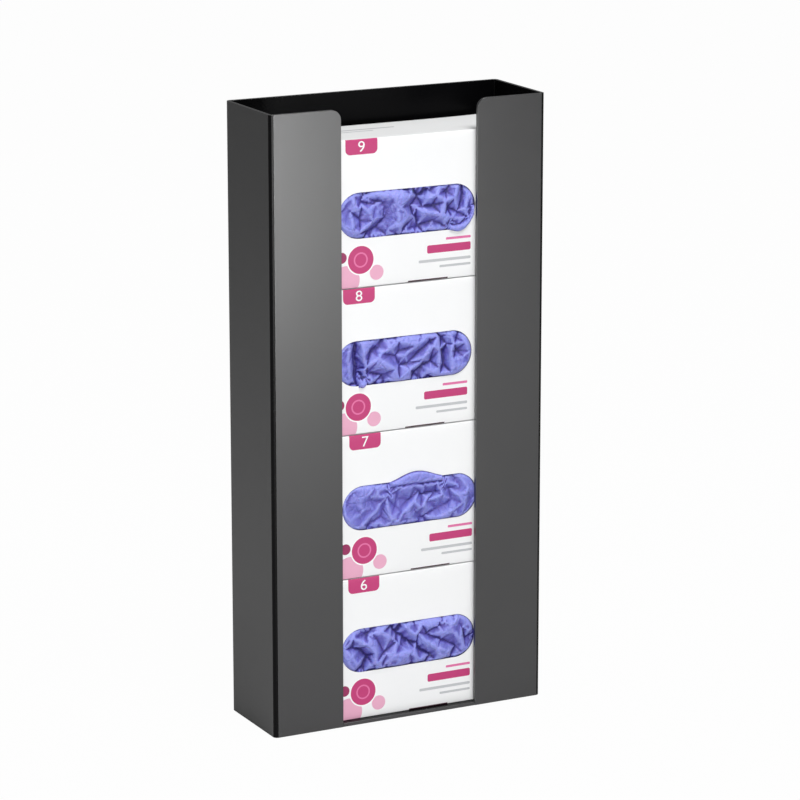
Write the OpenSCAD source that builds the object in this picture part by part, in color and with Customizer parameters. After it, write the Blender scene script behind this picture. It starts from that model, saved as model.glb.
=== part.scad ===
// Holder for four cartons of disposable gloves, open at the top and at the front.
// The origin is on the base, under the middle of the holder: +X right, +Y to the back, +Z up.

/* [Holder] */
// Overall width of the holder
holder_w = 260; // [240:1:360]
// Overall depth, from the front of the flaps to the back
holder_d = 88; // [82:1:140]
// Overall height of the holder
holder_h = 540; // [400:1:800]
// Thickness of the bent sheet
sheet_t = 3; // [2:0.25:5]
// Inside radius of the four bends
bend_in_r = 1; // [0.5:0.25:8]
// Width of each front flap, over its bend
flap_w = 65.5; // [20:0.5:90]
// Radius of the top inner corner of each flap
flap_corner_r = 9; // [2:0.5:20]

/* [Shelf] */
// Thickness of the shelf across the bottom
shelf_t = 3.5; // [2:0.25:10]
// Joint between the shelf and the walls round it
shelf_gap = 0.1; // [0.05:0.05:0.5]

/* [Wall fixing] */
// Radius of the screw holes through the back wall
screw_hole_r = 2.75; // [1.5:0.25:6]
// Distance between the screw holes, across
screw_pitch_x = 160; // [60:1:210]
// Distance between the screw holes, upwards
screw_pitch_z = 400; // [100:1:420]
// Height of the lower pair of screw holes
screw_low_z = 70; // [20:1:90]

/* [Cartons] */
// Width of a carton
carton_w = 224; // [180:1:240]
// Depth of a carton
carton_d = 67; // [50:1:76]
// Height of a carton
carton_h = 127.5; // [90:0.5:150]
// Thickness of the card
card_t = 0.8; // [0.4:0.1:2]
// Inside radius of the carton's folds
card_fold_r = 0.8; // [0.2:0.1:3]
// Gap between the flaps of the holder and the cartons
carton_front_gap = 2.5; // [0.5:0.25:6]
// Distance that each end flap stops short of the carton's edges
end_flap_gap = 1.2; // [0.4:0.1:4]
// Width of the dust flaps inside each end
dust_flap_w = 24; // [8:1:40]
// Length of the dispensing slot
slot_w = 130; // [80:1:170]
// Height of the dispensing slot
slot_h = 39.5; // [24:0.5:60]
// Height of the slot's centre above the carton's base
slot_z = 61.8; // [40:0.1:80]

/* [Gloves] */
// Clearance between the bunched gloves and the slot
glove_slot_gap = 0.6; // [0.3:0.1:3]
// Depth of the slot's rim of gloves behind the carton's face
glove_root = 5; // [2:0.5:12]
// Distance that the foremost glove stays behind the flaps' front
glove_flush = 0.4; // [0.1:0.1:3]
// Room above the gloves in the carton
glove_headroom = 8; // [1:0.5:30]
// Room beside the gloves in the carton
glove_side_room = 6; // [3:0.5:30]
// Clearance behind the gloves in the carton
glove_back_gap = 0.4; // [0.1:0.1:5]
// Radius of the glove stack's long edges
glove_edge_r = 10; // [2:0.5:20]

/* [Hidden] */
$fn = 48;
eps = 0.01;

carton_count = 4;
front_y = -holder_d / 2;
back_y = holder_d / 2;
inner_w = holder_w - 2 * sheet_t;
window_w = holder_w - 2 * flap_w;
bend_out_r = bend_in_r + sheet_t;

// Sideways place of each carton, as a share of its play between the walls.
carton_shift = [0, -0.18, 0.18, 0.08];
carton_play = (inner_w - carton_w) / 2;
carton_front_y = front_y + sheet_t + carton_front_gap;
card_out_r = card_fold_r + card_t;

function carton_x(i) = carton_shift[i] * carton_play;
function carton_z(i) = shelf_t + (carton_count - 1 - i) * carton_h;

// The bunch of gloves that fills a slot: its straight half length, its radius and its grid.
bunch_r = slot_h / 2 - glove_slot_gap;
bunch_s = (slot_w - slot_h) / 2;
bunch_end = 0.94;
bunch_cols = 62;
bunch_rows = 22;
bunch_bulge = sheet_t + carton_front_gap - glove_flush;

// The stack of gloves behind the bunch.
stack_w = carton_w - 2 * card_t - 2 * glove_side_room;
stack_d = carton_d - glove_root - card_t - glove_back_gap;
stack_h = carton_h - 2 * card_t - glove_headroom;
stack_edge_steps = 4;

// Folds of the gloves in each slot, by eye: place across and up from the slot's centre, angle,
// half length, half width, and height as a share of the bulge.
folds = [
    [[-57, -9, 15, 16, 11, 0.75], [-55, 12, 20, 13, 7, 0.6], [-40, 7, -25, 13, 8, 0.8],
     [-38, -4, 30, 14, 8, 0.7], [-33, -14, -20, 14, 6, 0.5], [-15, 9, 0, 21, 14, 1],
     [-18, -8, -65, 13, 9, 0.95], [0, -8, 25, 17, 11, 0.85], [11, 10, 35, 12, 7, 0.8],
     [13, -1, -35, 12, 6, 0.65], [26, -2, 65, 13, 7, 0.9], [27, -11, 10, 14, 7, 0.6],
     [27, 14, 15, 14, 6, 0.7], [39, 9, 20, 13, 8, 0.95], [41, -3, 50, 12, 7, 0.85],
     [55, 4, -60, 16, 9, 0.95], [48, -12, 25, 18, 6, 1]],
    [[-56, 0, 85, 22, 13, 0.75], [-37, 3, 80, 23, 5, 0.9], [-34, -14, 10, 9, 6, 0.8],
     [-19, -2, -35, 23, 16, 0.85], [-22, 15, 10, 16, 6, 0.7], [-4, 2, 80, 22, 7, 0.6],
     [4, 9, 45, 20, 7, 0.95], [13, 1, 52, 21, 5, 0.8], [6, -12, 35, 14, 7, 0.7],
     [21, -2, 60, 20, 4.5, 0.75], [27, 6, 68, 22, 5, 0.95], [36, -10, 60, 12, 5, 0.6],
     [43, -1, 85, 22, 4.5, 1], [50, 10, -70, 15, 6, 0.75], [58, 0, 75, 17, 8, 0.85],
     [51, -11, 30, 11, 8, 1]],
    [[-38, 4, 22, 34, 15, 0.9], [-55, -8, -10, 20, 12, 0.85], [-52, 10, 35, 14, 6, 0.6],
     [-22, -12, 42, 26, 6, 0.7], [-8, -13, 20, 18, 7, 0.8], [8, 13, 8, 26, 11, 1],
     [4, -9, -15, 20, 11, 0.75], [23, -3, 12, 30, 9, 0.9], [37, 14, 12, 18, 7, 0.7],
     [30, -14, 30, 18, 6, 0.85], [52, -2, 75, 22, 13, 0.95]],
    [[-49, 13, 22, 15, 7, 0.8], [-32, 7, -18, 17, 8, 1], [-57, -1, 60, 12, 7, 0.8],
     [-52, -11, -8, 16, 7, 0.9], [-36, -14, 20, 12, 6, 0.55], [-20, 5, 78, 20, 6, 0.9],
     [-14, -12, 5, 16, 9, 0.95], [-9, 8, 75, 17, 4.5, 0.75], [-2, -6, -50, 20, 8, 0.75],
     [9, 11, -42, 20, 9, 0.95], [10, -14, -10, 12, 6, 0.7], [22, -11, -35, 18, 10, 0.85],
     [29, 7, -27, 22, 5.5, 0.95], [43, 15, 10, 14, 6, 0.85], [45, 2, -22, 20, 6, 0.9],
     [59, 5, 75, 14, 7, 0.75], [52, -9, 25, 13, 7, 0.8]]
];

// Gloves that lap over the rim of a slot: side of the slot, centre across, half width and height of
// the lap. A side of 1 is above the slot and -1 is below it.
laps = [[[-1, 46, 18, 3.5]], [[-1, 50, 13, 3]], [[1, 9, 33, 9]], []];

// Half height of the bunch at a distance from the middle of the slot.
function bunch_half(x) =
    abs(x) <= bunch_s ? bunch_r : sqrt(pow(bunch_r, 2) - pow(abs(x) - bunch_s, 2));

// Height of one fold at a point, as a share of the bulge: a soft ridge with a sharp foot.
function fold_height(f, x, z) =
    let (dx = x - f[0], dz = z - f[1],
         along = (dx * cos(f[2]) + dz * sin(f[2])) / f[3],
         across = (dz * cos(f[2]) - dx * sin(f[2])) / f[4])
    f[5] * (1 - pow(along * along + across * across, 0.75));

// The folds lie over each other, so the highest one shows.
function bunch_height(i, x, z) =
    max([for (f = folds[i]) max(-0.8, fold_height(f, x, z))]);

// How strongly a lap acts at a distance across: 1 at its middle and 0 past its ends.
function lap_share(lap, x) = pow(max(0, 1 - pow((x - lap[1]) / lap[2], 2)), 2);
function lap_reach(i, side, x) =
    max([0, for (lap = laps[i]) if (lap[0] == side) lap[3] * lap_share(lap, x)]);

// Share of the way from the middle of the slot (0) to its rim (1) at which a lap begins.
lap_start = 0.7;
// Distance that a lap keeps from the card's face where it bends over the rim.
lap_gap = 0.6;

// A point of the bunch's front: t runs from -1 to 1 across the slot, v from -1 to 1 up it.
function bunch_point(i, t, v) =
    let (x = t * (bunch_s + bunch_r * bunch_end),
         half = bunch_half(x),
         z = v * half,
         rim = (1 - pow(abs(v), 6)) * (1 - pow(abs(t), 14)),
         out = bunch_bulge * bunch_height(i, x, z) * rim - glove_root * (1 - rim),
         reach = lap_reach(i, sign(v), x),
         w = max(0, (abs(v) - lap_start) / (1 - lap_start)))
    reach < 0.4 || w == 0 ? [x, -out, z] : lap_point(x, half, sign(v), w, reach, out);

// A point of a lap: out of the slot, over the rim in front of the card, and back into the slot.
function lap_point(x, half, side, w, reach, out) =
    let (lead = max(out, bunch_bulge * 0.75))
    [x,
     -lookup(w, [[0, lead], [0.19, lead], [0.47, bunch_bulge * 0.95], [0.7, bunch_bulge * 0.6],
                 [0.86, lap_gap * 2], [0.965, lap_gap], [1, -glove_root]]),
     side * lookup(w, [[0, half * lap_start], [0.47, half + reach * 0.45], [0.7, half + reach],
                       [0.86, half + reach * 0.7], [0.965, half - 0.1], [1, half]])];

// Rounded rectangle about the origin, made of true arcs.
module rounded_rect(w, h, r) {
    square([w - 2 * r, h], center = true);
    square([w, h - 2 * r], center = true);
    for (sx = [-1, 1], sy = [-1, 1])
        translate([sx * (w / 2 - r), sy * (h / 2 - r)]) circle(r);
}

// Slot with round ends.
module stadium(w, h) {
    square([w - h, h], center = true);
    for (side = [-1, 1]) translate([side * (w - h) / 2, 0]) circle(h / 2);
}

// One sheet, bent four times: back, two sides and two flaps with rounded top corners.
module holder_shell() {
    color("#3c3c3e")
    difference() {
        linear_extrude(holder_h) difference() {
            rounded_rect(holder_w, holder_d, bend_out_r);
            rounded_rect(inner_w, holder_d - 2 * sheet_t, bend_in_r);
            translate([-window_w / 2, front_y - 1]) square([window_w, sheet_t + 1.5]);
        }
        for (side = [-1, 1]) flap_corner(side);
        wall_screws();
    }
}

// What is cut off the top inner corner of a flap.
module flap_corner(side) {
    translate([side * window_w / 2, front_y + sheet_t + 0.5, holder_h])
        rotate([90, 0, 0]) linear_extrude(sheet_t + 1) difference() {
            translate([side > 0 ? -1 : -flap_corner_r, -flap_corner_r])
                square([flap_corner_r + 1, flap_corner_r + 1]);
            translate([side * flap_corner_r, -flap_corner_r]) circle(flap_corner_r);
        }
}

module wall_screws() {
    for (sx = [-1, 1], z = [screw_low_z, screw_low_z + screw_pitch_z])
        translate([sx * screw_pitch_x / 2, back_y + 1, z])
            rotate([90, 0, 0]) cylinder(r = screw_hole_r, h = sheet_t + 2);
}

// Flat plate inside the walls, with a tongue that fills the window between the flaps.
module bottom_shelf() {
    plate_w = inner_w - 2 * shelf_gap;
    plate_d = holder_d - 2 * sheet_t - 2 * shelf_gap;
    tongue_w = window_w - 2 * shelf_gap;
    color("#3c3c3e") linear_extrude(shelf_t) {
        rounded_rect(plate_w, plate_d, bend_in_r);
        translate([-tongue_w / 2, front_y]) square([tongue_w, holder_d / 2]);
    }
}

// Cross-section of a carton, seen from its end, with its front at y = 0 and its base at z = 0.
module carton_outline(inset, r) {
    translate([carton_d / 2, carton_h / 2])
        rounded_rect(carton_d - 2 * inset, carton_h - 2 * inset, r);
}

// Extrudes an outline drawn in Y and Z along X, about the middle.
module along_x(length) {
    translate([-length / 2, 0, 0]) rotate([90, 0, 90]) linear_extrude(length) children();
}

// Folded card: a sleeve with the slot in its front, closed at both ends by glued flaps.
module carton(i) {
    color("white") translate([carton_x(i), carton_front_y, carton_z(i)]) {
        difference() {
            along_x(carton_w - 2 * card_t) difference() {
                carton_outline(0, card_out_r);
                carton_outline(card_t, card_fold_r);
            }
            translate([0, card_t + 1, slot_z])
                rotate([90, 0, 0]) linear_extrude(card_t + 2) stadium(slot_w, slot_h);
        }
        for (side = [-1, 1]) carton_end(side);
    }
}

// End of a carton: the outer flap, hinged at the back panel, over two dust flaps.
module carton_end(side) {
    outer_x = side > 0 ? carton_w / 2 - card_t : -carton_w / 2;
    inner_x = side > 0 ? carton_w / 2 - 2 * card_t : -carton_w / 2 + card_t;
    translate([outer_x, end_flap_gap, end_flap_gap])
        cube([card_t, carton_d - end_flap_gap - card_out_r, carton_h - 2 * end_flap_gap]);
    translate([outer_x, carton_d - card_out_r - eps, card_out_r])
        cube([card_t, card_out_r, carton_h - 2 * card_out_r]);
    for (z = [card_t - eps, carton_h - card_t - dust_flap_w + eps])
        translate([inner_x, card_t - eps, z])
            cube([card_t, carton_d - 2 * card_t + 2 * eps, dust_flap_w]);
}

// The gloves of a carton, one closed solid: folds that bunch up through the slot, and behind them
// the stack, a block with round edges. The front is a grid of folds. A flat face joins its rim to the
// front corners of the stack, and loops of four corners then run round the edges to the back.
module gloves(i) {
    front = [for (c = [0 : bunch_cols], r = [0 : bunch_rows])
        bunch_point(i, 2 * c / bunch_cols - 1, sin(180 * r / bunch_rows - 90)) + [0, 0, slot_z]];
    loops = [for (loop = stack_loops(), q = [0 : 3]) stack_corner(q, loop[0], loop[1])];
    color("#8c8ce0") translate([carton_x(i), carton_front_y, carton_z(i)])
        polyhedron(concat(front, loops),
                   concat(grid_faces(), rim_faces(front), loop_faces(len(stack_loops()))));
}

// Depth and inset of each loop round the stack, from its front face to its back face.
function stack_loops() =
    let (r = min(glove_edge_r, stack_d / 3), n = stack_edge_steps)
    concat([for (k = [0 : n]) [glove_root + r * (1 - cos(90 * k / n)), r * (1 - sin(90 * k / n))]],
           [for (k = [n : -1 : 0])
               [glove_root + stack_d - r * (1 - cos(90 * k / n)), r * (1 - sin(90 * k / n))]]);

// Corner of the stack: bottom left, bottom right, top right and top left.
function stack_corner(q, depth, inset) =
    [(q == 1 || q == 2 ? 1 : -1) * (stack_w / 2 - inset), depth,
     card_t + stack_h / 2 + (q >= 2 ? 1 : -1) * (stack_h / 2 - inset)];

function grid_faces() =
    [for (c = [0 : bunch_cols - 1], r = [0 : bunch_rows - 1], half = [0, 1])
        let (a = c * (bunch_rows + 1) + r, b = a + bunch_rows + 2)
        half == 0 ? [a, a + 1, b] : [a, b, b - 1]];

// The rim of the grid in order: along the bottom, up the right, back along the top, down the left.
grid_rim = concat([for (c = [0 : bunch_cols]) c * (bunch_rows + 1)],
                  [for (r = [1 : bunch_rows]) bunch_cols * (bunch_rows + 1) + r],
                  [for (c = [bunch_cols - 1 : -1 : 0]) c * (bunch_rows + 1) + bunch_rows],
                  [for (r = [bunch_rows - 1 : -1 : 1]) r]);

// The corner of the stack that lies nearest to the middle of an edge of the rim.
function edge_quarter(front, k) =
    let (n = len(grid_rim), mid = (front[grid_rim[k]] + front[grid_rim[(k + 1) % n]]) / 2)
    mid[2] < slot_z ? (mid[0] < 0 ? 0 : 1) : (mid[0] < 0 ? 3 : 2);

function rim_faces(front) =
    let (n = len(grid_rim), first = len(front), q = [for (k = [0 : n - 1]) edge_quarter(front, k)])
    concat([for (k = [0 : n - 1]) [grid_rim[k], grid_rim[(k + 1) % n], first + q[k]]],
           [for (k = [0 : n - 1]) let (before = q[(k + n - 1) % n])
               if (before != q[k]) [grid_rim[k], first + q[k], first + before]]);

function loop_faces(count) =
    let (first = (bunch_cols + 1) * (bunch_rows + 1))
    concat([for (k = [0 : count - 2], q = [0 : 3])
               let (a = first + 4 * k + q, b = first + 4 * k + (q + 1) % 4) [a, b, b + 4, a + 4]],
           [[for (q = [0 : 3]) first + 4 * (count - 1) + q]]);

holder_shell();
bottom_shelf();
carton(0);  // carton_1
carton(1);  // carton_2
carton(2);  // carton_3
carton(3);  // carton_4
gloves(0);  // gloves_1
gloves(1);  // gloves_2
gloves(2);  // gloves_3
gloves(3);  // gloves_4
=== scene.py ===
"""Glove dispenser: a holder of bent black sheet, four printed cartons and the gloves in their slots.

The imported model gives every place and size. The holder and the shelf get rounded edges, the cartons are
folded card with bowed fronts, and the gloves are crumpled film that fills each slot.
"""
import math

import bmesh
import bpy
import numpy as np
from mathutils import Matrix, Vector
from mathutils.geometry import delaunay_2d_cdt


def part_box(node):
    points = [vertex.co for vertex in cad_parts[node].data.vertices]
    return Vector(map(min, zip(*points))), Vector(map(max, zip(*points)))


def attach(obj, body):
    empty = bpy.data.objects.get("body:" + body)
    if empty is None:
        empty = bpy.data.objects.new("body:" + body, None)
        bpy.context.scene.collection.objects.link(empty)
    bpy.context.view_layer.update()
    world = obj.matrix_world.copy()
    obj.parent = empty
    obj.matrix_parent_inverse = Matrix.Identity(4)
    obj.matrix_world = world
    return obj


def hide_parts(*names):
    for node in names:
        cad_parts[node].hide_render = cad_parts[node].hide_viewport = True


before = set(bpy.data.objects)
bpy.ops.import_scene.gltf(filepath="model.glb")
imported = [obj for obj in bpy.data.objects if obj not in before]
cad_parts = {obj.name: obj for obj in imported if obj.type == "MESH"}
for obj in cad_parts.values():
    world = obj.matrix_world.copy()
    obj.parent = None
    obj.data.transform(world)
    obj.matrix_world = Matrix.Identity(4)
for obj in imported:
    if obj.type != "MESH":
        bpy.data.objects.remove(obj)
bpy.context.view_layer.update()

MM = 0.001
BODY = "root"
SHELL_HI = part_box("holder_shell")[1]
CARTONS = (1, 2, 3, 4)

# Sheet of the holder
SHEET_T = 3 * MM
BEND_R = 4 * MM
SHEET_EDGE_R = 0.5 * MM

# Card of the cartons and the slot in their fronts
CARD_T = 0.6 * MM
CARD_FOLD_R = 1.0 * MM
END_FLAP_GAP = 1.2 * MM
SLOT_W = 130 * MM
SLOT_H = 39.5 * MM
SLOT_Z = 61.8 * MM
FRONT_BOW = 0.5 * MM
RIM_LIFT = 0.35 * MM
TOP_SAG = 0.9 * MM
NUMBER_SIZE = 13 * MM
NUMBER_STRETCH = 1.1
NUMBER_X = -43 * MM
NUMBER_Z = 56.2 * MM
NUMBER_INK = 0.08 * MM

# The slot's round ends and its half length between them, in millimetres
SLOT_END_R = SLOT_H / MM / 2
SLOT_STRAIGHT = (SLOT_W - SLOT_H) / MM / 2

# Slow waves in the lifted rim of a slot
RIM_FADE = 5
RIM_WAVE = 34
RIM_WAVES = 5
RIM_SEED = 40


# ---------------------------------------------------------------- helpers

def deselect():
    if bpy.context.object and bpy.context.object.mode != "OBJECT":
        bpy.ops.object.mode_set(mode="OBJECT")
    bpy.ops.object.select_all(action="DESELECT")


def activate(obj):
    deselect()
    obj.select_set(True)
    bpy.context.view_layer.objects.active = obj


def apply_modifier(obj, name, kind, **settings):
    activate(obj)
    modifier = obj.modifiers.new(name, kind)
    for key, value in settings.items():
        setattr(modifier, key, value)
    bpy.ops.object.modifier_apply(modifier=modifier.name)


def smooth(obj, degrees):
    activate(obj)
    bpy.ops.object.shade_smooth_by_angle(angle=math.radians(degrees))


def block(name, lo, hi):
    """Box between two corners, with its place in its mesh."""
    deselect()
    lo, hi = Vector(lo), Vector(hi)
    bpy.ops.mesh.primitive_cube_add(size=1, location=(lo + hi) / 2, scale=hi - lo)
    bpy.ops.object.transform_apply(location=True, rotation=True, scale=True)
    obj = bpy.context.object
    obj.name = name
    return obj


def join(target, others):
    activate(target)
    for other in others:
        other.select_set(True)
    bpy.ops.object.join()


def copy_of(node, name):
    """Copy of a CAD node with its loose triangles merged into whole faces."""
    obj = bpy.data.objects.new(name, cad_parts[node].data.copy())
    bpy.context.scene.collection.objects.link(obj)
    activate(obj)
    obj.data.materials.clear()
    bpy.ops.object.mode_set(mode="EDIT")
    bpy.ops.mesh.select_all(action="SELECT")
    bpy.ops.mesh.remove_doubles(threshold=0.001 * MM)
    bpy.ops.mesh.dissolve_limited(angle_limit=math.radians(1))
    bpy.ops.object.mode_set(mode="OBJECT")
    return obj


def smoothstep(value):
    value = np.clip(value, 0, 1)
    return value * value * (3 - 2 * value)


def inside_slot(x, z):
    """How far a place is inside the slot's outline, in millimetres from the slot's centre."""
    return SLOT_END_R - np.hypot(np.maximum(np.abs(x) - SLOT_STRAIGHT, 0), z)


def ripple(x, z, seed, wavelength, count):
    """Smooth random surface between about -1 and 1, from a few crossed waves."""
    rng = np.random.default_rng(seed)
    total = np.zeros_like(x)
    for _ in range(count):
        angle = rng.uniform(0, math.pi)
        pitch = wavelength * rng.uniform(0.7, 1.5)
        phase = rng.uniform(0, 2 * math.pi)
        total += np.cos(2 * math.pi * (x * math.cos(angle) + z * math.sin(angle)) / pitch + phase)
    return total / math.sqrt(count)


def read_places(obj):
    places = np.empty(len(obj.data.vertices) * 3)
    obj.data.vertices.foreach_get("co", places)
    return places.reshape(-1, 3)


def write_places(obj, x, y, z):
    obj.data.vertices.foreach_set("co", np.stack([x.ravel(), y.ravel(), z.ravel()], 1).ravel())
    obj.data.update()


def feed(tree, socket, value):
    """Links an output to a socket, or sets the socket's own value."""
    if isinstance(value, bpy.types.NodeSocket):
        tree.links.new(value, socket)
    elif isinstance(value, tuple):
        socket.default_value = (*value, 1)
    else:
        socket.default_value = value


def math_node(tree, operation, *values):
    node = tree.nodes.new("ShaderNodeMath")
    node.operation = operation
    for socket, value in zip(node.inputs, values):
        feed(tree, socket, value)
    return node.outputs[0]


# ---------------------------------------------------------------- materials

SHEET_DARK = (0.010, 0.010, 0.0108)
SHEET_LIGHT = (0.014, 0.014, 0.0148)
# Painted shade: a deeper black for the sheet's front bends and its inner faces than the sheet's own
SHADE_BLACK = (0.0015, 0.0015, 0.0018)
BEND_SHADE_PALE = (0.003, 0.003, 0.0033)
INSIDE_SHADE_PALE = (0.003, 0.003, 0.0034)
CORE_DARK = (0.42, 0.40, 0.37)
CORE_LIGHT = (0.62, 0.60, 0.57)
CARD_WHITE = (0.91, 0.915, 0.915)
CARD_SHADE = (0.87, 0.88, 0.885)
INK_MAGENTA = (0.52, 0.035, 0.17)
INK_DEEP = (0.30, 0.018, 0.10)
GAP_SHADOW_DARK = (0.045, 0.006, 0.018)
INK_ROSE = (0.72, 0.16, 0.36)
INK_PINK = (0.79, 0.40, 0.55)
INK_GREY = (0.52, 0.53, 0.55)
PAPER = (0.93, 0.93, 0.93)
# Colours of the film from the painted shade of its folded-under hollows to the painted highlight on its
# crests
FILM_SHADE_COLOURS = (
    (0.1, (0.016, 0.008, 0.15)),
    (0.42, (0.10, 0.08, 0.41)),
    (0.62, (0.175, 0.172, 0.60)),
    (0.9, (0.31, 0.33, 0.82)),
)
FILM_TINT = (0.80, 0.82, 0.92)
CREASE_WIDTH = 0.16

# Printed fields on the front, and a dark strip of painted shadow at its bottom edge: shape, across and up
# from the middle of the carton, width and height (or radius), corner radius, ink. All in millimetres.
FRONT_PRINT_AND_SHADOW = (
    ("bar", -43, 60, 30, 20, 4.5, INK_MAGENTA),
    ("disc", -58, -57, 13, 0, 0, INK_PINK),
    ("disc", -29, -52, 6.5, 0, 0, INK_PINK),
    ("disc", -44, -40, 13.2, 0, 0, PAPER),
    ("disc", -44, -40, 12, 0, 0, INK_MAGENTA),
    ("disc", -44, -40, 6.6, 0, 0, INK_ROSE),
    ("disc", -44, -40, 5.2, 0, 0, INK_MAGENTA),
    ("disc", -62, -37, 4.8, 0, 0, INK_DEEP),
    ("bar", 40, -37, 42, 7.0, 1.5, INK_MAGENTA),
    ("bar", 49, -29, 24, 2.2, 0.8, INK_ROSE),
    ("bar", 36, -47, 50, 2.4, 0.9, INK_GREY),
    ("bar", 46, -52.5, 30, 2.0, 0.8, INK_GREY),
    # The dark bar along the bottom edge is painted shadow of the gap at the seam below the carton, not
    # print.
    ("bar", 20, -63.2, 38, 1.7, 0.3, GAP_SHADOW_DARK),
)
# Printed fields on the top, across and back from its middle.
TOP_PRINT = (
    ("bar", -22, 10, 64, 3.4, 1.2, INK_GREY),
    ("bar", -34, 2, 40, 2.4, 0.9, INK_GREY),
)


class Finish:
    """Node material with a few short ways to add what this object needs."""

    def __init__(self, name):
        self.material = bpy.data.materials.new(name)
        self.material.use_nodes = True
        self.tree = self.material.node_tree
        self.nodes = self.tree.nodes
        self.shader = self.nodes["Principled BSDF"]

    def set(self, **sockets):
        for key, value in sockets.items():
            self.shader.inputs[key.replace("_", " ")].default_value = value

    def colour(self, source):
        feed(self.tree, self.shader.inputs["Base Color"], source)

    def roughness(self, source, low, high):
        feed(self.tree, self.shader.inputs["Roughness"], self.span(source, low, high))

    def math(self, operation, *values):
        return math_node(self.tree, operation, *values)

    def place(self, centre=(0, 0, 0)):
        """Object coordinates about a centre."""
        coords = self.nodes.new("ShaderNodeTexCoord")
        mapping = self.nodes.new("ShaderNodeMapping")
        mapping.inputs["Location"].default_value = [-value for value in centre]
        feed(self.tree, mapping.inputs["Vector"], coords.outputs["Object"])
        return mapping.outputs["Vector"]

    def split(self, vector):
        node = self.nodes.new("ShaderNodeSeparateXYZ")
        feed(self.tree, node.inputs[0], vector)
        return node.outputs

    def noise(self, vector, per_metre, detail=3):
        node = self.nodes.new("ShaderNodeTexNoise")
        node.inputs["Scale"].default_value = per_metre
        node.inputs["Detail"].default_value = detail
        feed(self.tree, node.inputs["Vector"], vector)
        return node.outputs["Fac"]

    def creases(self, vector, per_metre):
        """0 along a net of straight creases, rising to 1 a little way off them."""
        node = self.nodes.new("ShaderNodeTexVoronoi")
        node.feature = "DISTANCE_TO_EDGE"
        node.inputs["Scale"].default_value = per_metre
        feed(self.tree, node.inputs["Vector"], vector)
        ramp = self.nodes.new("ShaderNodeMapRange")
        ramp.interpolation_type = "SMOOTHSTEP"
        ramp.inputs["From Max"].default_value = CREASE_WIDTH
        feed(self.tree, ramp.inputs["Value"], node.outputs["Distance"])
        return ramp.outputs["Result"]

    def span(self, value, low, high):
        """Stretches a 0 to 1 value to run from low to high."""
        node = self.nodes.new("ShaderNodeMapRange")
        node.inputs["To Min"].default_value = low
        node.inputs["To Max"].default_value = high
        feed(self.tree, node.inputs["Value"], value)
        return node.outputs["Result"]

    def mix(self, factor, first, second, blend="MIX"):
        node = self.nodes.new("ShaderNodeMix")
        node.data_type = "RGBA"
        node.blend_type = blend
        feed(self.tree, node.inputs["Factor"], factor)
        feed(self.tree, node.inputs["A"], first)
        feed(self.tree, node.inputs["B"], second)
        return node.outputs["Result"]

    def bump(self, height, distance, strength):
        node = self.nodes.new("ShaderNodeBump")
        node.inputs["Distance"].default_value = distance
        node.inputs["Strength"].default_value = strength
        feed(self.tree, node.inputs["Height"], height)
        feed(self.tree, self.shader.inputs["Normal"], node.outputs["Normal"])


def sheet_finish():
    """Black plastic sheet: a fine satin grain under a thin gloss."""
    finish = Finish("black_sheet")
    place = finish.place()
    finish.set(IOR=2.0)
    finish.colour(finish.mix(finish.noise(place, 14, 4), SHEET_DARK, SHEET_LIGHT))
    finish.roughness(finish.noise(place, 60, 5), 0.29, 0.33)
    finish.bump(finish.noise(place, 2600, 2), 0.02 * MM, 0.5)
    return finish.material


def bend_shade_finish():
    """The same sheet on its two front bends, with a flatter grain and a deeper black painted on as shade.
    """
    finish = Finish("black_sheet_bend_shade")
    place = finish.place()
    finish.set(IOR=1.25)
    finish.colour(finish.mix(finish.noise(place, 90), SHADE_BLACK, BEND_SHADE_PALE))
    finish.roughness(finish.noise(place, 300), 0.22, 0.3)
    return finish.material


def inner_shade_finish():
    """The inner face of the sheet: matt, and painted nearly black as shade inside the holder."""
    finish = Finish("black_sheet_inside_shade")
    place = finish.place()
    finish.set(IOR=1.15)
    finish.colour(finish.mix(finish.noise(place, 14, 4), SHADE_BLACK, INSIDE_SHADE_PALE))
    finish.roughness(finish.noise(place, 60, 5), 0.22, 0.3)
    return finish.material


def card_core_finish():
    """Cut edge of the card, uncoated and greyer."""
    finish = Finish("card_core")
    place = finish.place()
    finish.set(Roughness=0.85)
    finish.colour(finish.mix(finish.noise(place, 900, 4), CORE_DARK, CORE_LIGHT))
    finish.bump(finish.noise(place, 1800), 0.03 * MM, 0.5)
    return finish.material


def card_finish(number, lo, hi):
    """Coated white card with its printed fields and a painted shadow strip at the foot of its front, for
    one carton.
    """
    finish = Finish(f"white_card_{number}")
    place = finish.place((lo + hi) / 2)
    across, back, up = finish.split(place)
    colour = finish.mix(finish.noise(place, 18, 4), CARD_SHADE, CARD_WHITE)
    on_front = finish.math("LESS_THAN", back, -(hi.y - lo.y) / 2 + CARD_FOLD_R)
    on_top = finish.math("GREATER_THAN", up, (hi.z - lo.z) / 2 - CARD_FOLD_R - TOP_SAG)
    for fields, second, side in ((FRONT_PRINT_AND_SHADOW, up, on_front), (TOP_PRINT, back, on_top)):
        for field in fields:
            inside = print_and_shadow_field(finish, field, across, second)
            colour = finish.mix(finish.math("MULTIPLY", inside, side), colour, field[-1])
    finish.colour(colour)
    finish.set(Coat_Weight=0.15, Coat_Roughness=0.25)
    finish.roughness(finish.noise(place, 40), 0.42, 0.55)
    finish.bump(finish.noise(place, 700), 0.02 * MM, 0.4)
    return finish.material


def white_ink_finish():
    finish = Finish("white_ink")
    finish.colour(finish.mix(finish.noise(finish.place(), 300), CARD_SHADE, PAPER))
    finish.set(Roughness=0.45)
    return finish.material


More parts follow.
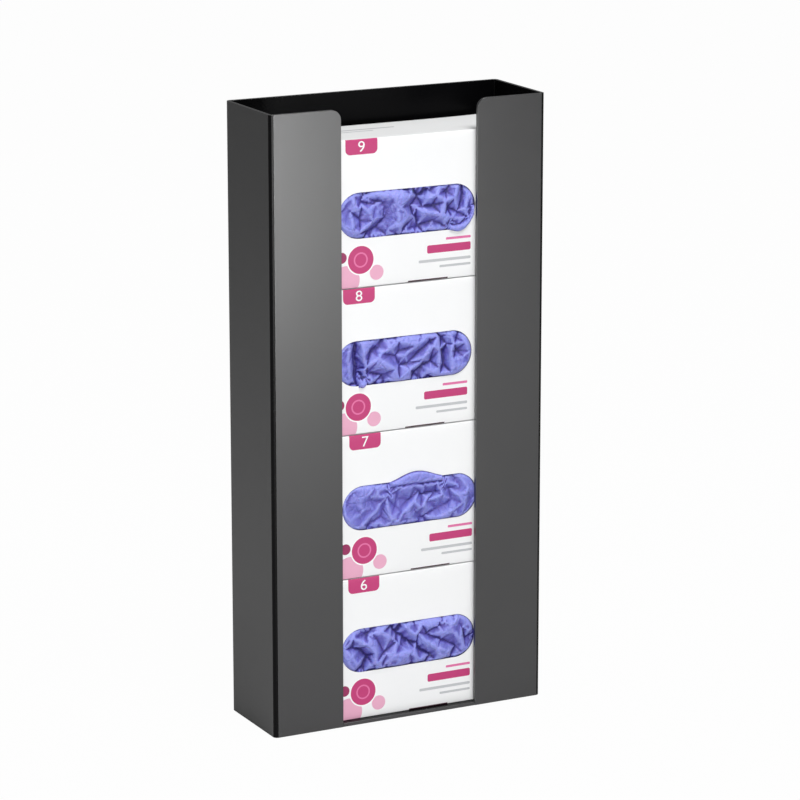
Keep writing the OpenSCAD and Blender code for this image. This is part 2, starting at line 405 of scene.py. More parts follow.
def print_and_shadow_field(finish, field, across, second):
    """1 inside a disc or a bar with round corners, and 0 outside."""
    shape, x, z, width, height, corner, _ = field
    dx = finish.math("ABSOLUTE", finish.math("SUBTRACT", across, x * MM))
    dz = finish.math("ABSOLUTE", finish.math("SUBTRACT", second, z * MM))
    radius = width
    if shape == "bar":
        radius = corner
        dx = finish.math("MAXIMUM", finish.math("SUBTRACT", dx, (width / 2 - corner) * MM), 0.0)
        dz = finish.math("MAXIMUM", finish.math("SUBTRACT", dz, (height / 2 - corner) * MM), 0.0)
    square = finish.math("ADD", finish.math("POWER", dx, 2.0), finish.math("POWER", dz, 2.0))
    return finish.math("LESS_THAN", square, (radius * MM) ** 2)


def glove_finish():
    """Soft matt nitrile film: painted highlight makes it paler on the crests, painted shade makes it deep
    violet where it is folded under.
    """
    finish = Finish("blue_nitrile")
    place = finish.place()
    fold_shade = finish.nodes.new("ShaderNodeAttribute")
    fold_shade.attribute_name = "fold_shade"
    ramp = finish.nodes.new("ShaderNodeValToRGB")
    stops = ramp.color_ramp.elements
    for stop, (position, colour) in zip(stops, (FILM_SHADE_COLOURS[0], FILM_SHADE_COLOURS[-1])):
        stop.position = position
        stop.color = (*colour, 1)
    for position, colour in FILM_SHADE_COLOURS[1:-1]:
        stops.new(position).color = (*colour, 1)
    feed(finish.tree, ramp.inputs["Fac"], fold_shade.outputs["Fac"])
    tint = finish.mix(finish.noise(place, 130), FILM_TINT, (1.0, 1.0, 1.0))
    finish.colour(finish.mix(1, ramp.outputs["Color"], tint, "MULTIPLY"))
    finish.set(Subsurface_Weight=0.1, Subsurface_Scale=1.2 * MM, Sheen_Weight=0.08, Sheen_Roughness=0.4)
    finish.roughness(finish.noise(place, 500), 0.42, 0.58)
    small_creases = finish.math("MULTIPLY", finish.creases(place, 230), 0.5)
    wrinkles = finish.math("ADD", finish.creases(place, 105), small_creases)
    grain = finish.math("MULTIPLY", finish.noise(place, 2200, 4), 0.08)
    finish.bump(finish.math("ADD", wrinkles, grain), 0.55 * MM, 0.8)
    return finish.material


# ---------------------------------------------------------------- holder

# Material slots of the holder's shell and of its shelf
BEND_SHADE_SLOT = 1
INSIDE_SHADE_SLOT = 2
SHELF_SHADE_SLOT = 1
# Faces count as upright, turned or upward by the size of a part of their normal
UPRIGHT = 0.5
TURNED = 0.995
UPWARD = 0.9
INNER_REACH = 0.1 * MM


def holder_piece(node, name, materials):
    """The holder's shell or shelf: the CAD form with its sheet edges eased."""
    obj = copy_of(node, name)
    apply_modifier(obj, "edges", "BEVEL", width=SHEET_EDGE_R, segments=3, limit_method="ANGLE",
                   angle_limit=math.radians(50))
    smooth(obj, 40)
    apply_modifier(obj, "flat_faces", "WEIGHTED_NORMAL", weight=100, keep_sharp=True)
    for material in materials:
        obj.data.materials.append(material)
    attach(obj, BODY)
    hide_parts(node)
    return obj


def mark_bends(obj):
    """Gives the outside of the two front bends and the inside of the sheet their own finishes, painted
    darker as shade.
    """
    inner_x = SHELL_HI.x - SHEET_T
    inner_y = SHELL_HI.y - SHEET_T
    for face in obj.data.polygons:
        x, y = abs(face.center.x), face.center.y
        upright = abs(face.normal.z) < UPRIGHT
        turned = max(abs(face.normal.x), abs(face.normal.y)) < TURNED
        if upright and max(x - inner_x, abs(y) - inner_y) < INNER_REACH:
            face.material_index = INSIDE_SHADE_SLOT
        elif upright and turned and min(x - SHELL_HI.x, -y - SHELL_HI.y) > -BEND_R:
            face.material_index = BEND_SHADE_SLOT


def mark_upward(obj):
    """Gives the upward faces of the shelf the finish of the inside, nearly black as painted shade."""
    for face in obj.data.polygons:
        face.material_index = SHELF_SHADE_SLOT if face.normal.z > UPWARD else 0


# ---------------------------------------------------------------- cartons

# The top carton has size number 9
TOP_NUMBER = 10
CORE_SLOT = 1
CORE_REACH = 0.6
LONG_EDGE = 10 * MM
ON_MIDDLE = 1e-6
# Cuts across each axis, for panels fine enough to bow
PANEL_CUTS = ((0, 30), (2, 18), (1, 8))


def slot_cutter(centre, lo):
    """Solid with the slot's round-ended outline, through the front of a carton."""
    deselect()
    bpy.ops.mesh.primitive_cylinder_add(vertices=64, radius=SLOT_H / 2, depth=10 * MM,
                                        rotation=(math.pi / 2, 0, 0), location=(0, 0, 0))
    bpy.ops.object.transform_apply(location=False, rotation=True, scale=False)
    cutter = bpy.context.object
    stretch = (SLOT_W - SLOT_H) / 2
    for vertex in cutter.data.vertices:
        if abs(vertex.co.x) < ON_MIDDLE:
            vertex.co.x = 0
        vertex.co.x += stretch if vertex.co.x > 0 else -stretch
        vertex.co += Vector((centre.x, lo.y, lo.z + SLOT_Z))
    return cutter


def carton(number, core, ink):
    """Folded carton: a sleeve of card with the slot cut in its bowed front, and glued end flaps."""
    node = f"carton_{number}"
    lo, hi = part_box(node)
    centre = (lo + hi) / 2
    sleeve = block(f"{node}_card", lo + Vector((CARD_T, 0, 0)), hi - Vector((CARD_T, 0, 0)))
    sleeve.data.materials.append(card_finish(number, lo, hi))
    sleeve.data.materials.append(core)
    round_folds(sleeve)
    apply_modifier(sleeve, "wall", "SOLIDIFY", thickness=CARD_T, offset=-1, use_even_offset=True)
    cutter = slot_cutter(centre, lo)
    apply_modifier(sleeve, "slot", "BOOLEAN", operation="DIFFERENCE", object=cutter, solver="EXACT")
    bpy.data.objects.remove(cutter)
    add_bisects(sleeve, lo, hi)
    bow_panels(sleeve, number, lo, hi)
    mark_card_core(sleeve, centre, lo)
    ends = [end_flap(sleeve, side, lo, hi) for side in (-1, 1)]
    join(sleeve, [*ends, size_number(number, ink, lo, hi)])
    smooth(sleeve, 35)
    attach(sleeve, BODY)
    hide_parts(node)


def round_folds(obj):
    """Rounds the four folds that run across."""
    bm = bmesh.new()
    bm.from_mesh(obj.data)
    for edge in bm.edges:
        along = edge.verts[1].co - edge.verts[0].co
        edge.select = abs(along.x) > LONG_EDGE
    bm.select_flush(False)
    bm.select_mode = {"EDGE"}
    bm.to_mesh(obj.data)
    bm.free()
    activate(obj)
    bpy.context.tool_settings.mesh_select_mode = (False, True, False)
    bpy.ops.object.mode_set(mode="EDIT")
    bpy.ops.mesh.bevel(offset=CARD_FOLD_R, segments=4, affect="EDGES")
    bpy.ops.object.mode_set(mode="OBJECT")


def add_bisects(obj, lo, hi):
    """Cuts the faces into a net that is fine enough to bow."""
    activate(obj)
    bpy.ops.object.mode_set(mode="EDIT")
    for axis, steps in PANEL_CUTS:
        for step in range(1, steps):
            place = lo.copy()
            place[axis] += (hi[axis] - lo[axis]) * step / steps
            normal = Vector((0, 0, 0))
            normal[axis] = 1
            bpy.ops.mesh.select_all(action="SELECT")
            bpy.ops.mesh.bisect(plane_co=place, plane_no=normal)
    bpy.ops.object.mode_set(mode="OBJECT")


def bow_panels(obj, number, lo, hi):
    """Lets the front bow out a little, lifts the slot's rim and sags the top between its two ends."""
    places = read_places(obj)
    x, y, z = places[:, 0], places[:, 1], places[:, 2]
    middle, half = (lo + hi) / 2, (hi - lo) / 2
    at_front = y < lo.y + 2 * CARD_T
    y = np.where(at_front, y - front_push(x, z, number, lo, hi), y)
    sag = TOP_SAG * (1 - np.abs((x - middle.x) / half.x) ** 4)
    z = np.where(z > hi.z - 2 * CARD_FOLD_R, z - np.maximum(sag, 0), z)
    write_places(obj, x, y, z)


def mark_card_core(obj, centre, lo):
    """Bare card on the cut edge of the slot."""
    for face in obj.data.polygons:
        x = abs(face.center.x - centre.x) / MM
        z = (face.center.z - lo.z - SLOT_Z) / MM
        past_rim = math.hypot(max(x - SLOT_STRAIGHT, 0), z) - SLOT_END_R
        at_front = face.center.y < lo.y + 2 * CARD_T
        cut = at_front and abs(past_rim) < CORE_REACH and abs(face.normal.y) < UPRIGHT
        face.material_index = CORE_SLOT if cut else 0


def end_flap(sleeve, side, lo, hi):
    """Outer glued flap on one end of a carton."""
    outer = hi.x if side > 0 else lo.x
    inner = outer - side * CARD_T
    flap = block("flap", (min(outer, inner), lo.y + END_FLAP_GAP, lo.z + END_FLAP_GAP),
                 (max(outer, inner), hi.y - CARD_FOLD_R, hi.z - END_FLAP_GAP))
    flap.data.materials.append(sleeve.data.materials[0])
    return flap


def front_push(x, z, number, lo, hi):
    """How far the front of a carton stands out at a place, from its bow and its slot's lifted rim."""
    middle, half = (lo + hi) / 2, (hi - lo) / 2
    dome = (1 - ((x - middle.x) / half.x) ** 2) * (1 - ((z - middle.z) / half.z) ** 2)
    from_slot = (x - middle.x) / MM, (z - lo.z - SLOT_Z) / MM
    near_rim = np.exp(-np.maximum(-inside_slot(*from_slot), 0) / RIM_FADE)
    wave = ripple(*from_slot, RIM_SEED + number, RIM_WAVE, RIM_WAVES)
    return FRONT_BOW * dome + RIM_LIFT * near_rim * (0.5 + 0.5 * wave) * dome


def size_number(number, ink, lo, hi):
    """Plain size number in white ink on the printed tab."""
    deselect()
    bpy.ops.object.text_add(location=(0, 0, 0), rotation=(math.pi / 2, 0, 0))
    obj = bpy.context.object
    obj.data.body = str(TOP_NUMBER - number)
    obj.data.size = NUMBER_SIZE
    obj.data.align_x = "CENTER"
    obj.data.align_y = "CENTER"
    bpy.ops.object.convert(target="MESH")
    bpy.ops.object.transform_apply(location=True, rotation=True, scale=True)
    obj = bpy.context.object
    places = read_places(obj)
    x = places[:, 0] * NUMBER_STRETCH + (lo.x + hi.x) / 2 + NUMBER_X
    z = places[:, 2] + (lo.z + hi.z) / 2 + NUMBER_Z
    write_places(obj, x, lo.y - front_push(x, z, number, lo, hi) - NUMBER_INK, z)
    obj.data.materials.append(ink)
    return obj


# ---------------------------------------------------------------- gloves

# Film in a slot: how far it is tucked behind the card, how far its edge and its hollows lie back, how far
# it bulges out, its thickness, and where the stack behind it begins, with the stack's rounded edges. All
# in millimetres. Then the cells of its grid.
FILM_TUCK = 6.0
FILM_BACK = 2.2
FILM_DEEPEST = -5.6
FILM_BULGE = 5.1
FILM_T = 0.2
STACK_BACK = 5.5
STACK_EDGE_R = 10
FILM_COLS = 120
FILM_ROWS = 42
# Gap between a lap of film and the card under it, and how far below the card's face a film edge turns
LAP_GAP = 0.3
RIM_BACK = 1.3
# Reach of a lap inwards from its edge, and over how many millimetres it fades
LAP_REACH = 11
LAP_FADE = 8
# Height of the lobe over the card in a lap, and its fall into the slot
LOBE_RISE = 3
LOBE_DROP = 9
# Over how many millimetres the folds grow from the rim and from the edge of a lap, the film rounds up to
# its full bulge, and the bulge softly stops what stands out too far
FOLD_FADE = 3.5
LAP_FOLD_FADE = 4
ROUND_IN = 6
SOFT = 2
# The simulation holds the film where it lies this far outside the slot's outline
HELD_OUTSIDE = 2
# Corners of the flat facets of the film in each slot: across, up and out, in mm from the slot's centre.
FACETS = (
    ((-60, -3, 0.5), (-60, 12, 0), (-52, 15, 1.5), (-48, 6, 3), (-57, -14, 2), (-45, -2, -1.5),
     (-43, 12, 0), (-38, 4, 3.2), (-34, -5, 1.5), (-52, -8, 2.5), (-46, -14, 0.5), (-40, -10, 2),
     (-36, -15, -3.5), (-29, 10, -1), (-28, -12, -4.5), (-27, 17, 2), (-23, -3, -1.5), (-21, -17, -3),
     (-14, 15, 3.4), (-9, 4, 3.6), (-18, 5, 1), (-16, -11, 0), (-9, -10, 4.2), (-4, -16, -1),
     (0, -5, 2.2), (3, 14, 1.5), (6, 4, -2), (10, -5, -4), (12, -14, -4), (12, 11, -4),
     (18, 17, -4), (20, 9, 3), (19, -2, 3.6), (16, 3, -1.5), (25, 3, -3.5), (28, 12, 3),
     (31, 18, 0), (31, -4, 3.2), (25, -10, 0.5), (35, 6, 3.5), (38, 14, -3), (40, 0, -3),
     (44, 9, 3), (40, -9, 2.5), (48, -3, 0.5), (47, 17, 2), (53, 9, -1.5), (55, -1, 2.5),
     (59, 6, 2), (57, -10, 1.5)),
    ((-60, 8, 1), (-60, -9, 1), (-53, 0, 0.5), (-52, 14, 0), (-52, -15, 0), (-45, 17, -4),
     (-45, 6, -5), (-44, -6, -5), (-44, -16, -4.5), (-40, 17, 3.5), (-39, 6, 4), (-39, -6, 4),
     (-40, -19, 3.5), (-34, 14, 1), (-30, 10, -2), (-25, 15, -1), (-34, -9, 0.5), (-32, -17, 2),
     (-21, -13, -1), (-24, 4, 3), (-14, 11, 3.2), (-18, -4, 3.2), (-5, 7, -0.5), (-6, -18, 1.5),
     (-10, -8, 2.4), (-5, -5, 0), (-6, 16, 2), (0, 3, 2.6), (10, 11, 3.2), (21, 17, 2.5),
     (3, -4, 0.2), (14, 5, 0), (24, 12, 0), (4, -10, 2.8), (16, -1, 3.4), (26, 8, 3.6),
     (11, -14, -4), (18, -9, -3.8), (25, -5, -2), (26, -14, 2.5), (30, 16, 3), (31, 5, 3.8),
     (32, -6, 3.4), (33, -16, 1), (36, 14, -3), (37, 3, -4), (38, -8, -3.5), (43, 16, 3),
     (44, 4, 4), (45, -7, 3.4), (44, -16, 1.5), (50, 13, -1), (50, 2, -2.5), (52, -12, 3.5),
     (56, -4, 1), (57, 8, 1.5), (61, 0, 1)),
    ((-60, 4, 0.5), (-58, -8, 1.8), (-52, 9, 2.2), (-40, 12, 2.8), (-27, 14, 2.4), (-46, -2, 3.2),
     (-36, 3, 1.6), (-24, 7, 3.4), (-46, -14, 2.2), (-34, -4, 3.6), (-40, -17, -3), (-28, -10, -2),
     (-14, -2, -1.2), (-2, 2, -1), (12, 5, -2.5), (24, 6, -3), (38, 7, -2.5), (46, 9, -0.5),
     (-12, 14, 3.6), (0, 14, 4.6), (12, 13, 4.8), (24, 13, 4.2), (34, 14, 2.5), (-20, -10, 3.4),
     (-14, -15, 2), (-6, -7, 3.2), (-1, -13, 1.5), (3, -1, 3.6), (16, 1, 4), (30, 3, 3.6),
     (44, 2, 3.2), (40, -3, -0.5), (27, -9, -2), (14, -15, -2.5), (10, -6, 3), (50, -6, 3.4),
     (40, -12, 3.2), (28, -16, 1.5), (55, 5, 3), (59, -2, 2), (50, 14, 1.5), (57, 11, 0.5)),
    ((-61, 3, 1), (-60, -9, 2), (-54, 12, 2.6), (-53, 3, -2), (-46, 0, -4), (-56, -4, 2.8),
     (-50, -12, 1.5), (-41, 5, 3.6), (-41, 14, -1.5), (-40, -7, -5), (-43, -15, -4.5), (-34, -3, 3.8),
     (-33, -12, 3), (-31, 8, 1), (-27, 14, 3.4), (-24, -4, 1.2), (-26, -17, 1), (-20, 9, 3.8),
     (-16, 17, -3.5), (-15, -8, 3.4), (-12, 3, 0.5), (-9, 10, -4), (-7, -17, 1), (-3, 15, 3.8),
     (1, 2, -3.8), (-1, -8, 3.2), (6, 8, 4.2), (11, -6, -3.5), (12, 16, 2), (21, -14, -3),
     (16, 0, 3.8), (10, -15, 2), (20, 12, 3.4), (34, 5, 3.4), (49, -3, 3), (18, 6, 0.5),
     (32, -1, 0.2), (45, -9, -0.5), (26, -8, 3), (38, -13, 2.6), (29, 16, 1.5), (42, 12, 3),
     (52, 7, 1.5), (56, -2, -2), (60, 4, 1.5), (55, -12, 1)),
)
# Small folds laid at random between them: how many, their height in each slot, and where they may lie.
SMALL_FOLDS = 12
SMALL_FOLD_HEIGHT = (0.5, 0.3, 0.15, 0.4)
SMALL_FOLD_TURN = (0.3, 2.6)
SMALL_FOLD_HALF = (3, 7)
SMALL_FOLD_ACROSS = (-60, 60)
SMALL_FOLD_UP = (-14, 14)
# Corners in the tucked part of the film, round the slot
TUCK_ACROSS = range(-66, 67, 12)
TUCK_UP = (-21.5, 21.5)
TUCK_END_ACROSS = (-68, 68)
TUCK_END_UP = (-10, 0, 10)
TUCK_OUT = (-2, -0.4)
NO_FACET_OUT = -2.0
# Strength of the facets and of the painted shade in the creases, slot by slot; then the painted shade in
# broad hollows and the level of flat film, above which ridges are painted paler
FACET_SHARE = (0.9, 1.0, 0.6, 0.95)
CREASE_SHADE = (2.6, 2.7, 1.3, 2.6)
HOLLOW_SHADE = 0.06
CREST_LEVEL = 0.64
# Laps over the rim of a slot: side (1 above, -1 below), centre across, half width, reach.
LAPS = (((-1, 52, 13, 2.5),), ((-1, -40, 4, 2.0),), ((1, 6, 28, 7.0),), ())
# Share of a lap, from its ends, over which its edge comes out from behind the card
LAP_TURN = 0.12
# The film is slightly too large for its slot, and crumples. It is simulated ten times its size.
SIM_SCALE = 10
FILM_EXCESS = 0.05
FILM_BEND = 8
FILM_FRAMES = 10
FILM_APART = 0.5
# Smallest triangle that counts as a facet, and how far past its edges it still holds
SLIVER = 1e-9
TOUCHING = 1e-6
SAME_CORNER = 1e-5


def facet_height(corners, x, z):
    """Height at x, z of the flat triangular facets between the corners."""
    flat = [Vector(corner[:2]) for corner in corners]
    points, _, triangles, origins = delaunay_2d_cdt(flat, [], [], 0, SAME_CORNER)[:4]
    heights = [corners[origin[0]][2] for origin in origins]
    height = np.full(x.shape, NO_FACET_OUT)
    for triangle in triangles:
        a, b, c = (points[k] for k in triangle)
        area = (b.y - c.y) * (a.x - c.x) + (c.x - b.x) * (a.y - c.y)
        if abs(area) < SLIVER:
            continue
        u = ((b.y - c.y) * (x - c.x) + (c.x - b.x) * (z - c.y)) / area
        v = ((c.y - a.y) * (x - c.x) + (a.x - c.x) * (z - c.y)) / area
        w = 1 - u - v
        over = (u > -TOUCHING) & (v > -TOUCHING) & (w > -TOUCHING)
        at = [heights[k] for k in triangle]
        height = np.where(over, u * at[0] + v * at[1] + w * at[2], height)
    return height


def facet_corners(index, rng):
    """The corners of a slot's facets, of its tucked rim and of small folds between them."""
    rim = [(x, z) for x in TUCK_ACROSS for z in TUCK_UP]
    rim += [(x, z) for x in TUCK_END_ACROSS for z in TUCK_END_UP]
    corners = list(FACETS[index]) + [(x, z, rng.uniform(*TUCK_OUT)) for x, z in rim]
    turn = rng.uniform(*SMALL_FOLD_TURN, SMALL_FOLDS)
    half = rng.uniform(*SMALL_FOLD_HALF, SMALL_FOLDS)
    x = rng.uniform(*SMALL_FOLD_ACROSS, SMALL_FOLDS)
    z = rng.uniform(*SMALL_FOLD_UP, SMALL_FOLDS)
    x = np.concatenate((x - half * np.cos(turn), x + half * np.cos(turn)))
    z = np.concatenate((z - half * np.sin(turn), z + half * np.sin(turn)))
    rise = np.tile(rng.normal(0, SMALL_FOLD_HEIGHT[index], SMALL_FOLDS), 2)
    height = facet_height(corners, x, z) + rise
    return corners + list(zip(x, z, height))


def lap_weight(lapped, from_edge):
    """1 in a lap and 0 well inside it."""
    return lapped * smoothstep((LAP_REACH - from_edge) / LAP_FADE)


def film_edge(index, side, x):
    """Edge of the film above or below: how far up, how far out, and 1 where it laps over the rim."""
    beyond = np.maximum(np.abs(x) - SLOT_STRAIGHT, 0)
    rim = np.sqrt(np.maximum(SLOT_END_R ** 2 - beyond ** 2, 0))
    up = np.sqrt(np.maximum((SLOT_END_R + FILM_TUCK) ** 2 - beyond ** 2, 0))
    out = np.full_like(x, -FILM_BACK)
    lapped = np.zeros_like(x)
    for lap_side, centre, half, reach in LAPS[index]:
        if lap_side != side:
            continue
        share = np.maximum(0, 1 - ((x - centre) / half) ** 2)
        rise = np.clip(share / LAP_TURN, 0, 2)
        behind_card = up + (rim - LAP_GAP - up) * rise
        over_card = rim - LAP_GAP + (reach * share ** 2 + LAP_GAP) * (rise - 1)
        up = np.where(rise < 1, behind_card, over_card)
        out = np.where(rise < 1, -FILM_BACK + (FILM_BACK - 1) * rise, -1 + (1 + LAP_GAP) * (rise - 1))
        lapped = np.maximum(lapped, np.clip(rise - 1, 0, 1))
    return up, out, lapped


def soften(values, sigma):
    """Gaussian blur of a grid of values, with sigma in cells."""
    reach = int(3 * sigma)
    weights = np.exp(-0.5 * (np.arange(-reach, reach + 1) / sigma) ** 2)
    weights /= weights.sum()
    for axis in (0, 1):
        padding = [(reach, reach) if k == axis else (0, 0) for k in (0, 1)]
        padded = np.pad(values, padding, mode="edge")
        values = sum(weight * np.take(padded, range(k, k + values.shape[axis]), axis)
                     for k, weight in enumerate(weights))
    return values


def crumple(obj, pinned):
    """Cloth simulation of a film that is too large for the slot, held at its edges."""
    group = obj.vertex_groups.new(name="held")
    group.add([int(k) for k in np.nonzero(pinned.ravel())[0]], 1.0, "REPLACE")
    activate(obj)
    cloth = obj.modifiers.new("crumple", "CLOTH")
    film = cloth.settings
    film.quality = 5
    film.mass = 0.1
    film.air_damping = 2
    film.tension_stiffness = film.compression_stiffness = 15
    film.shear_stiffness = 5
    film.bending_stiffness = FILM_BEND
    film.bending_damping = 0.5
    film.vertex_group_mass = group.name
    film.shrink_min = film.shrink_max = -FILM_EXCESS
    film.effector_weights.gravity = 0
    cloth.collision_settings.use_collision = False
    cloth.collision_settings.use_self_collision = True
    cloth.collision_settings.self_distance_min = FILM_APART * MM * SIM_SCALE
    cloth.point_cache.frame_start = 1
    cloth.point_cache.frame_end = FILM_FRAMES
    for step in range(1, FILM_FRAMES + 1):
        bpy.context.scene.frame_set(step)
    bpy.ops.object.modifier_apply(modifier=cloth.name)
    obj.vertex_groups.clear()


def film_grid(name):
    """Flat grid for the film in a slot."""
    deselect()
    bpy.ops.mesh.primitive_grid_add(x_subdivisions=FILM_COLS, y_subdivisions=FILM_ROWS, size=2)
    obj = bpy.context.object
    obj.name = name
    return obj


def grid_places(obj):
    """The film's vertices as three grids: across, back and up."""
    places = read_places(obj).reshape(FILM_ROWS + 1, FILM_COLS + 1, 3)
    return places[:, :, 0], places[:, :, 1], places[:, :, 2]


def lay_film(obj, index):
    """Lays the film in its first folds, enlarged for the simulation.

    Gives each place's distance from the film's edge, how far it laps over the rim, and if it is held.
    """
    across, row = grid_places(obj)[:2]
    x = across * (SLOT_STRAIGHT + SLOT_END_R + 1)
    above, below = film_edge(index, 1, x), film_edge(index, -1, x)
    edge_up, edge_out, lapped = (np.where(row > 0, high, low) for high, low in zip(above, below))
    z = row * edge_up
    from_edge = (1 - np.abs(row)) * edge_up
    inside = inside_slot(x, z)
    lap = lap_weight(lapped, from_edge)
    behind_rim = smoothstep((inside + 1) / FOLD_FADE)
    in_lap = np.clip(from_edge / LAP_FOLD_FADE, 0, 1)
    share = behind_rim * (1 - lap) + in_lap * lap
    folds = FACET_SHARE[index] * facet_height(facet_corners(index, np.random.default_rng(index)), x, z)
    out = folds * share + edge_out * (1 - share)
    scale = MM * SIM_SCALE
    write_places(obj, x * scale, -out * scale, z * scale)
    tucked = (inside < -HELD_OUTSIDE) & (lapped < 0.01)
    held = (np.abs(row) > 0.999) | (np.abs(across) > 0.99) | tucked
    return from_edge, lapped, held


def mark_fold_shade(obj, index, out):
    """Writes how much of a crest each place of the film is, for its colour: painted shade in creases and
    hollows, painted highlight on ridges.
    """
    crease = soften(out, 0.8) - out
    hollow = soften(out, 4) - out
    level = CREST_LEVEL - CREASE_SHADE[index] * crease - HOLLOW_SHADE * hollow
    fold_shade = obj.data.attributes.new("fold_shade", "FLOAT", "POINT")
    fold_shade.data.foreach_set("value", np.clip(level, 0, 1).ravel())


def gloves(number, nitrile):
    """Film bunched up in the slot of a carton, in front of the stack that it is drawn from."""
    node = f"gloves_{number}"
    index = number - 1
    carton_lo, carton_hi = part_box(f"carton_{number}")
    obj = film_grid(f"{node}_film")
    from_edge, lapped, held = lay_film(obj, index)
    crumple(obj, held)
    x, back, z = (places / (MM * SIM_SCALE) for places in grid_places(obj))
    middle = (carton_lo.x + carton_hi.x) / 2
    across = middle + x * MM
    up = carton_lo.z + SLOT_Z + z * MM
    card_face = front_push(across, up, number, carton_lo, carton_hi) / MM
    out = fit_in_slot(x, z, -back, from_edge, lapped, card_face)
    write_places(obj, across, carton_lo.y - out * MM, up)
    mark_fold_shade(obj, index, out)
    apply_modifier(obj, "fine", "SUBSURF", levels=1, render_levels=1)
    apply_modifier(obj, "film", "SOLIDIFY", thickness=FILM_T * MM, offset=0)
    face_out(obj)
    obj.data.materials.append(nitrile)
    join(obj, [glove_stack(node, carton_lo.y, nitrile)])
    smooth(obj, 80)
    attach(obj, BODY)
    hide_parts(node)


def fit_in_slot(x, z, out, from_edge, lapped, card_face):
    """Fits the crumpled film to the slot: behind the card round the rim, and over it in a lap."""
    inside = inside_slot(x, z)
    rim_limit = -RIM_BACK + (FILM_BULGE + RIM_BACK) * np.sqrt(np.clip(inside / ROUND_IN, 0, 1))
    dome = np.sqrt(np.clip(1 - (1 - np.clip(from_edge / ROUND_IN, 0, 1)) ** 2, 0, 1))
    lap_limit = card_face + LAP_GAP + (FILM_BULGE - LAP_GAP) * dome
    limit = rim_limit + (lap_limit - rim_limit) * lap_weight(lapped, from_edge)
    over = out - (limit - SOFT)
    out = np.where(over > 0, limit - SOFT + SOFT * np.tanh(over / SOFT), out)
    lobe_end = LOBE_DROP * smoothstep((inside - 1) / LOBE_DROP)
    lobe = np.maximum(card_face + LAP_GAP + LOBE_RISE * dome - lobe_end, FILM_DEEPEST)
    return np.maximum(out, FILM_DEEPEST + (lobe - FILM_DEEPEST) * smoothstep(lapped / 0.5))


def face_out(obj):
    activate(obj)
    bpy.ops.object.mode_set(mode="EDIT")
    bpy.ops.mesh.select_all(action="SELECT")
    bpy.ops.mesh.normals_make_consistent(inside=False)
    bpy.ops.object.mode_set(mode="OBJECT")


def glove_stack(node, carton_front, nitrile):
    """The stack of gloves inside the carton, rounded at its edges."""
    lo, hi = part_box(node)
    lo.y = carton_front + STACK_BACK * MM
    stack = block("stack", lo, hi)
    apply_modifier(stack, "edges", "BEVEL", width=STACK_EDGE_R * MM, segments=4, limit_method="NONE")
    # The stack has no values for the film's painted shade, so it takes the film's darkest painted shade.
    stack.data.materials.append(nitrile)
    return stack


# ---------------------------------------------------------------- stage

FLOOR_GREY = (0.5, 0.5, 0.5)
FLOOR_GLOW = 0.98
MIRRORED_SHARE = 0.1
WORLD_FILL = 0.12
CAMERA_LENS = 163.2
CAMERA_PLACE = (-1.3813, -2.7176, 1.0279)
CAMERA_DOWN = 13.877
CAMERA_TURN = 27.161


def area_lamp(name, place, aim, width, height, watts, mirrored_only=False):
    data = bpy.data.lights.new(name, "AREA")
    data.shape = "RECTANGLE"
    data.size = width
    data.size_y = height
    data.energy = watts
    lamp = bpy.data.objects.new(name, data)
    bpy.context.scene.collection.objects.link(lamp)
    lamp.location = place
    lamp.rotation_euler = (Vector(aim) - Vector(place)).to_track_quat("-Z", "Y").to_euler()
    lamp.visible_camera = False
    lamp.visible_diffuse = not mirrored_only


def seen_as_background(tree, share):
    """The share of the plain background that a ray sees: all of it for the camera, less in reflections."""
    path = tree.nodes.new("ShaderNodeLightPath")
    glossy, passing = path.outputs["Is Glossy Ray"], path.outputs["Is Transmission Ray"]
    mirrored = math_node(tree, "MAXIMUM", glossy, passing)
    dimmed = math_node(tree, "MULTIPLY", mirrored, MIRRORED_SHARE)
    seen = math_node(tree, "MAXIMUM", path.outputs["Is Camera Ray"], dimmed)
    return math_node(tree, "MULTIPLY", seen, share)


def mix_shaders(tree, factor, first, second, target):
    mix = tree.nodes.new("ShaderNodeMixShader")
    feed(tree, mix.inputs["Fac"], factor)
    feed(tree, mix.inputs[1], first.outputs[0])
    feed(tree, mix.inputs[2], second.outputs[0])
    feed(tree, target.inputs["Surface"], mix.outputs[0])


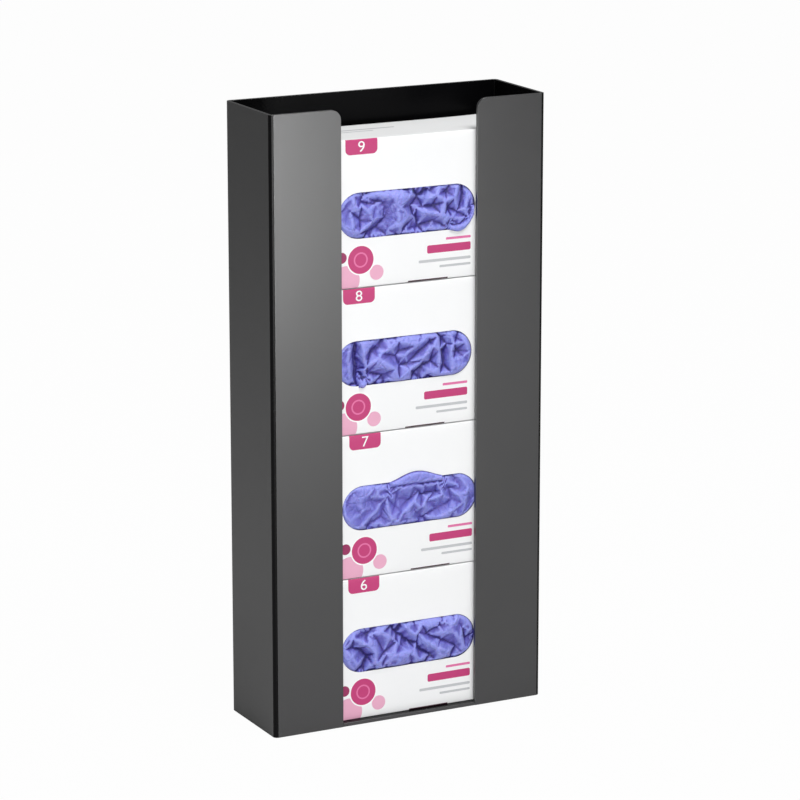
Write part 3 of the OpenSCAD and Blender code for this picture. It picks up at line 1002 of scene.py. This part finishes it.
def floor_stage():
    """Pale floor that keeps a soft shadow and meets the white background."""
    deselect()
    bpy.ops.mesh.primitive_plane_add(size=40, location=(0, 0, 0))
    floor = bpy.context.object
    floor.name = "floor"
    material = bpy.data.materials.new("pale_floor")
    material.use_nodes = True
    tree = material.node_tree
    matt = tree.nodes["Principled BSDF"]
    matt.inputs["Base Color"].default_value = (*FLOOR_GREY, 1)
    matt.inputs["Roughness"].default_value = 1
    matt.inputs["Specular IOR Level"].default_value = 0
    glow = tree.nodes.new("ShaderNodeEmission")
    mix_shaders(tree, seen_as_background(tree, FLOOR_GLOW), matt, glow, tree.nodes["Material Output"])
    floor.data.materials.append(material)


def white_world():
    """Dim white light all round, behind which the camera sees plain white."""
    world = bpy.data.worlds.new("studio")
    world.use_nodes = True
    bpy.context.scene.world = world
    tree = world.node_tree
    fill = tree.nodes["Background"]
    fill.inputs["Color"].default_value = (1, 1, 1, 1)
    fill.inputs["Strength"].default_value = WORLD_FILL
    shown = tree.nodes.new("ShaderNodeBackground")
    shown.inputs["Color"].default_value = (1, 1, 1, 1)
    mix_shaders(tree, seen_as_background(tree, 1), fill, shown, tree.nodes["World Output"])


def camera():
    data = bpy.data.cameras.new("camera")
    data.lens = CAMERA_LENS
    data.sensor_width = 36
    obj = bpy.data.objects.new("camera", data)
    bpy.context.scene.collection.objects.link(obj)
    obj.location = CAMERA_PLACE
    obj.rotation_euler = (math.radians(90 - CAMERA_DOWN), 0, math.radians(-CAMERA_TURN))
    bpy.context.scene.camera = obj


# ---------------------------------------------------------------- scene

camera()
floor_stage()
white_world()
area_lamp("flap_panel", (0.28, -1.24, 0.33), (0.1, 0, 0.34), 0.26, 0.48, 2.7, mirrored_only=True)
area_lamp("top_softbox", (0.3, -1.9, 3.6), (0, 0, 0.25), 1.6, 1.6, 104)
area_lamp("low_fill", (-0.9, -2.0, 0.15), (0, 0, 0.1), 1.0, 1.0, 35)
area_lamp("overhead", (0, 0.05, 2.2), (0, 0.05, 0), 0.8, 0.8, 9)
area_lamp("left_fill", (-1.9, 0.7, 0.9), (0, 0, 0.3), 1.2, 1.2, 1.4)

sheet = sheet_finish()
sheet_in_shade = inner_shade_finish()
card_core = card_core_finish()
white_ink = white_ink_finish()
blue_film = glove_finish()

mark_bends(holder_piece("holder_shell", "holder_sheet", (sheet, bend_shade_finish(), sheet_in_shade)))
mark_upward(holder_piece("bottom_shelf", "shelf_plate", (sheet, sheet_in_shade)))
for number in CARTONS:
    carton(number, card_core, white_ink)
for number in CARTONS:
    gloves(number, blue_film)

bpy.context.scene.view_settings.view_transform = "Standard"
deselect()
